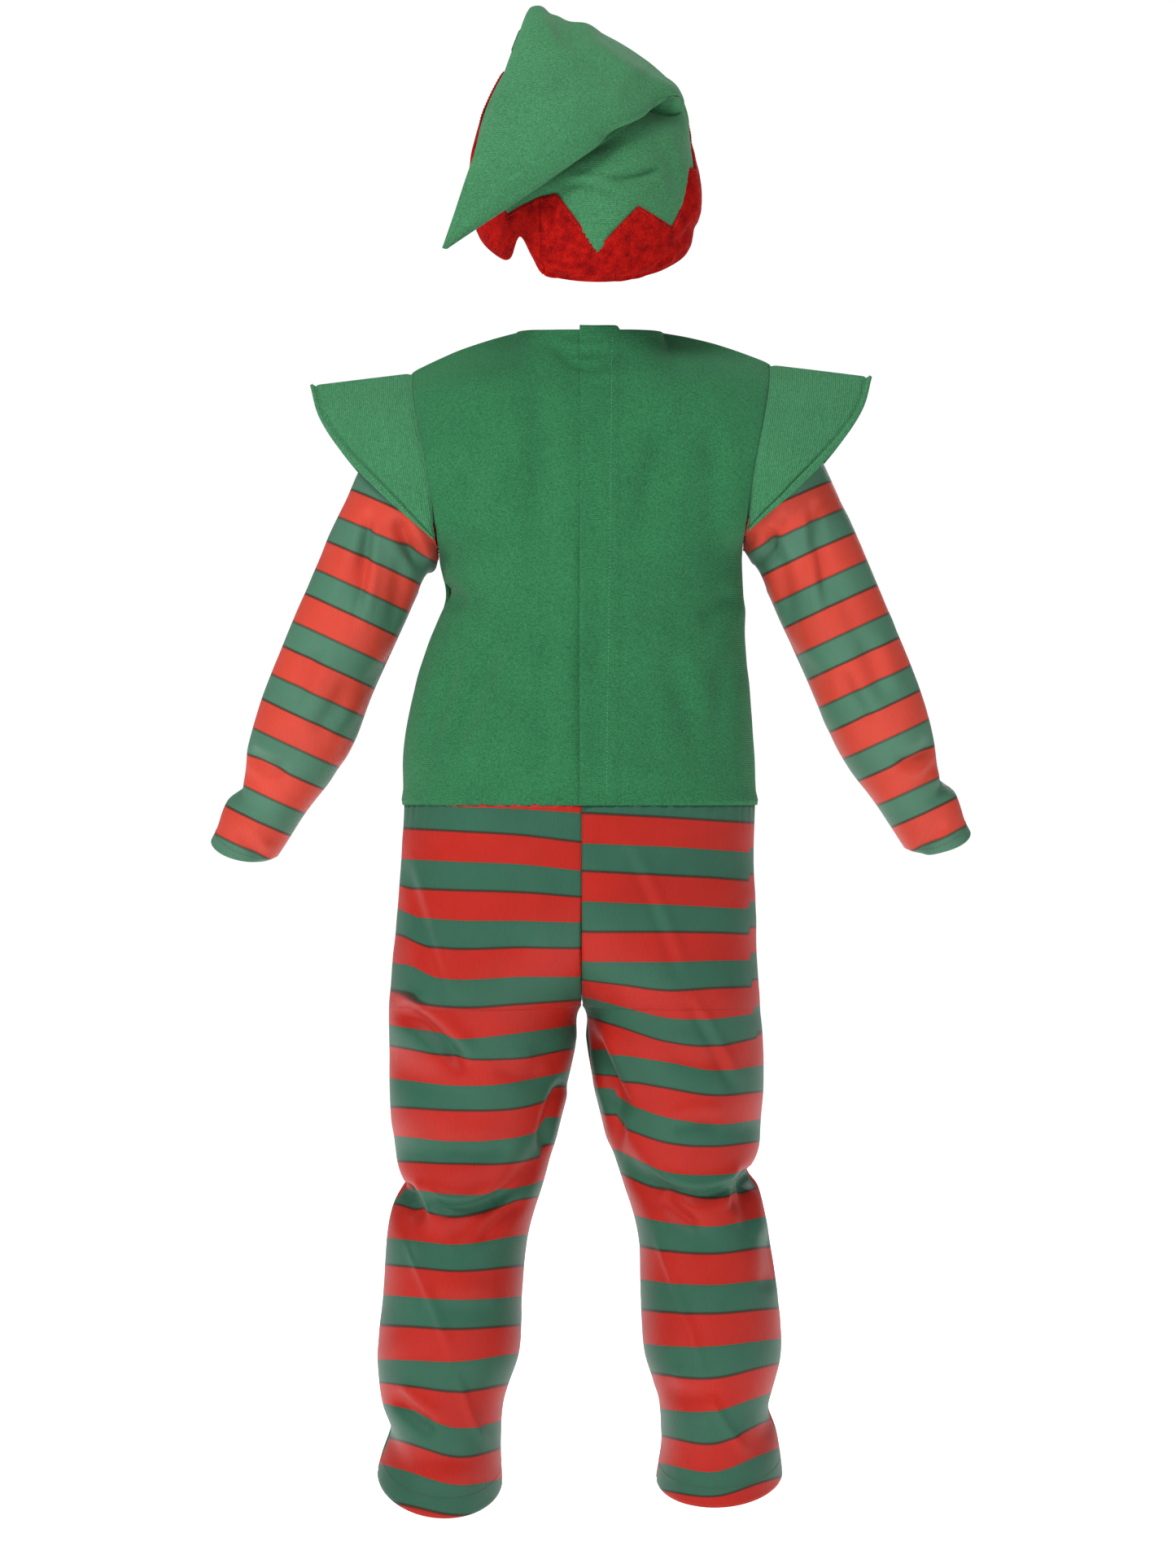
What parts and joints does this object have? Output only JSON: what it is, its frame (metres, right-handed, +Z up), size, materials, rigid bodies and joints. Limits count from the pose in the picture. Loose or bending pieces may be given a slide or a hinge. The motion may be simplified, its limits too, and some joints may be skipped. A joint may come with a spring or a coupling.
{
  "type": "child's elf costume",
  "caption": "Child's all-in-one with green bodice, pointed shoulder wings and striped sleeves and trousers, with its pointed hat, held as if worn.",
  "frame": {"origin": "between the shoulders, at the height of the neckline, where the wearer's shoulders carry the bodice", "axes": "+Z up, +X to the wearer's left, -Y to the front, so +Y is the back, where the closing is"},
  "size_m": [0.5882, 0.2084, 1.1491],
  "materials": {
    "green_fleece": "brushed polyester knit",
    "striped_satin": "satin-faced knit",
    "red_velvet": "crushed velvet"
  },
  "bodies": {
    "root": {"bodice_front": "green_fleece", "bodice_back_left": "green_fleece", "bodice_back_right": "green_fleece", "back_placket": "green_fleece", "wing_left": "green_fleece", "wing_right": "green_fleece", "sleeve_left": "striped_satin", "sleeve_right": "striped_satin", "trouser_back_left": "striped_satin", "trouser_back_right": "striped_satin", "trouser_front_left": "striped_satin", "trouser_front_right": "striped_satin", "hat_back": "green_fleece", "hat_front": "green_fleece", "hat_brim": "red_velvet"}
  },
  "joints": []
}
